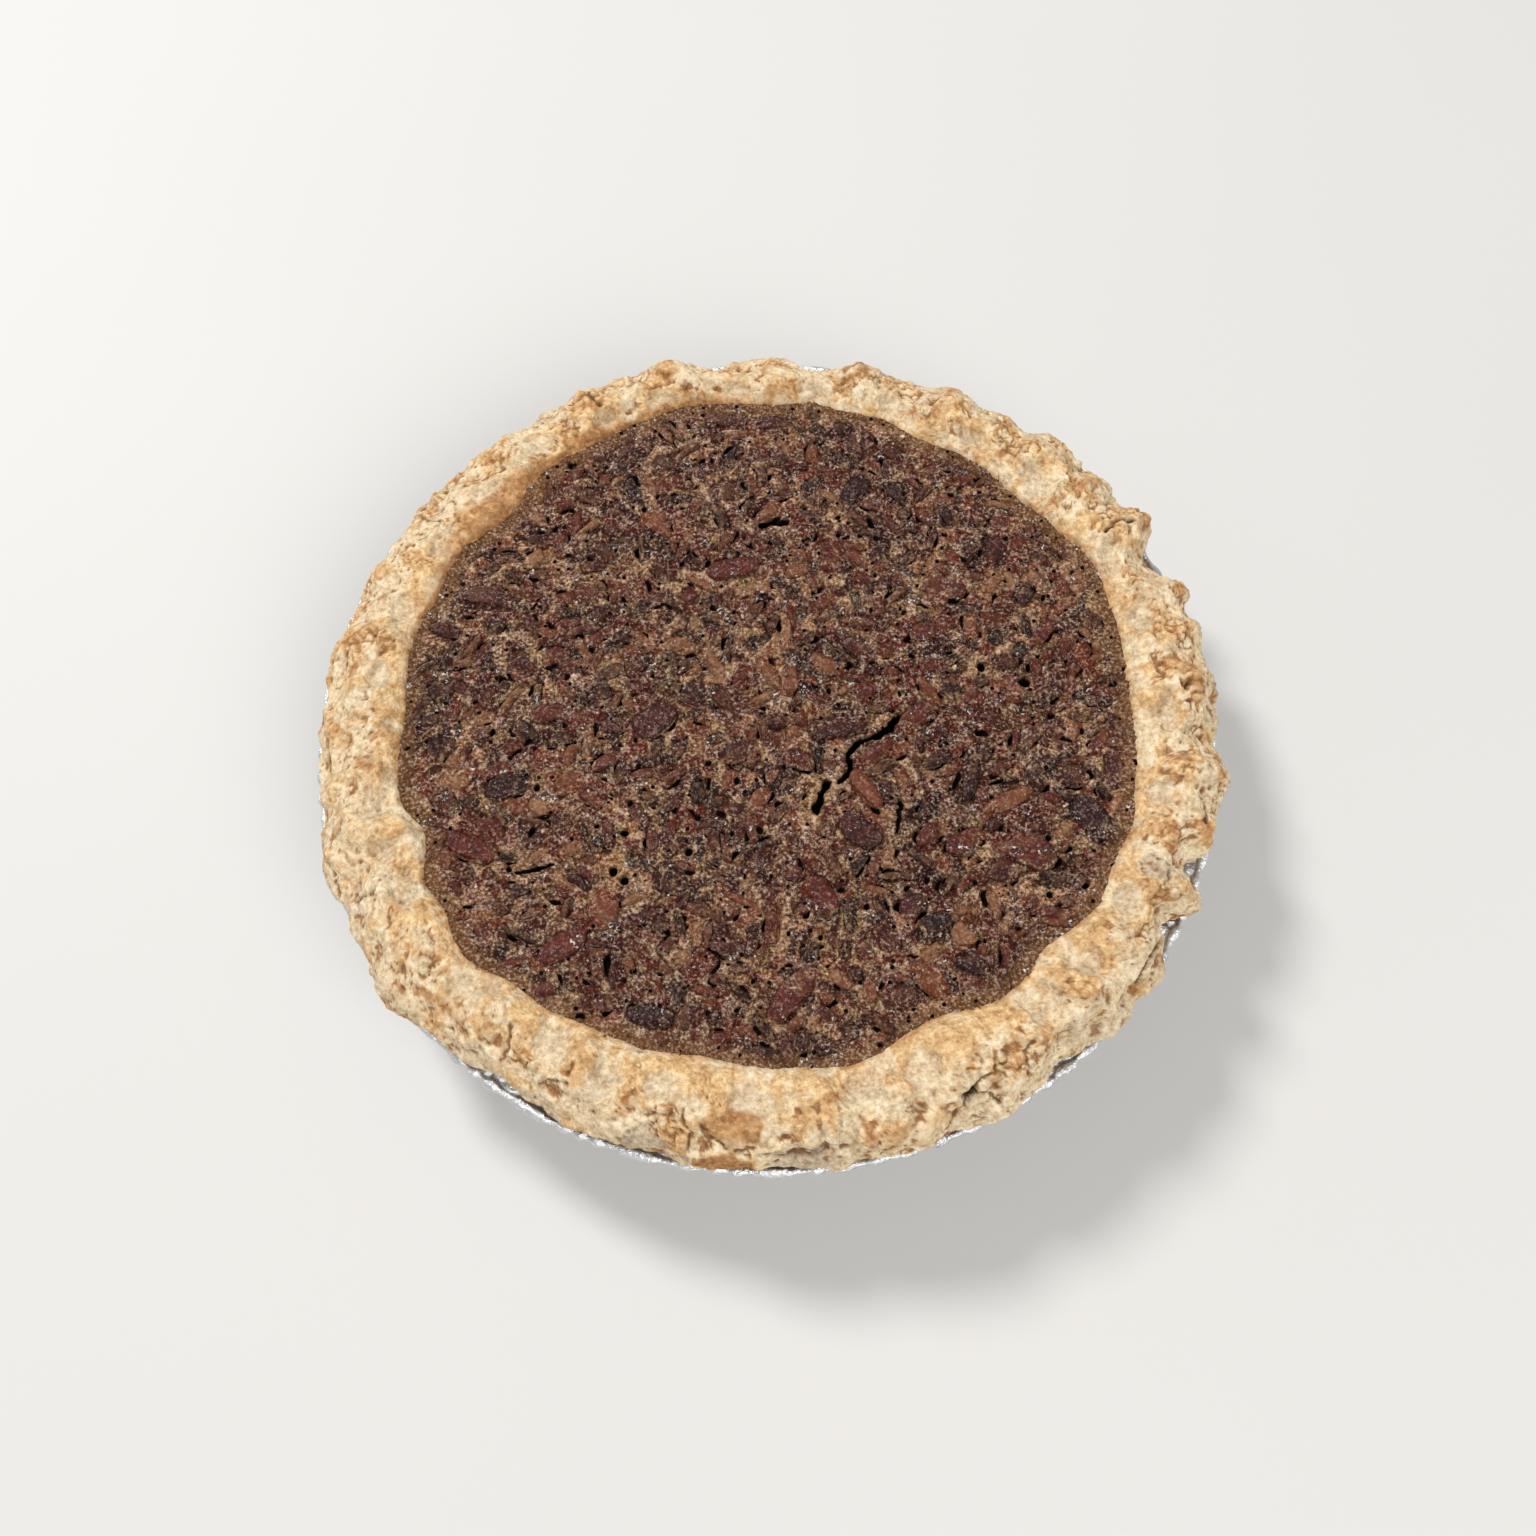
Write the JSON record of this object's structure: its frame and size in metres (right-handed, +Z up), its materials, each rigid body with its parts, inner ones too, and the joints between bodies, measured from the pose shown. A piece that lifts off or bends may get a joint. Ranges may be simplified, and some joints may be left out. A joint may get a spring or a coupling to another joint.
{
  "type": "pecan pie",
  "caption": "Round baked pie with a hand-pinched pastry rim and a chopped nut filling, in its own foil tin.",
  "frame": {"origin": "middle of the tin's flat underside, which rests on the table", "axes": "+Z up, the front of the pie at -Y, the right at +X"},
  "size_m": [0.2365, 0.2358, 0.0454],
  "materials": {
    "foil": "bright pressed aluminium foil, pleated and wrinkled",
    "pastry": "matt baked pastry, cream to golden brown, flaky and pitted",
    "custard": "glistening grainy baked custard, mottled brown",
    "nut": "glazed toasted nut, reddish to purple brown"
  },
  "bodies": {
    "root": {"foil_tin": "foil", "crust": "pastry", "filling": "custard", "pecan_01": "nut", "pecan_02": "nut", "pecan_03": "nut", "pecan_04": "nut", "pecan_05": "nut", "pecan_06": "nut", "pecan_07": "nut", "pecan_08": "nut", "pecan_09": "nut", "pecan_10": "nut", "pecan_11": "nut", "pecan_12": "nut", "pecan_13": "nut", "pecan_14": "nut", "pecan_15": "nut", "pecan_16": "nut", "pecan_17": "nut", "pecan_18": "nut", "pecan_19": "nut", "pecan_20": "nut", "pecan_21": "nut", "pecan_22": "nut", "pecan_23": "nut", "pecan_24": "nut", "pecan_25": "nut", "pecan_26": "nut"}
  },
  "joints": []
}
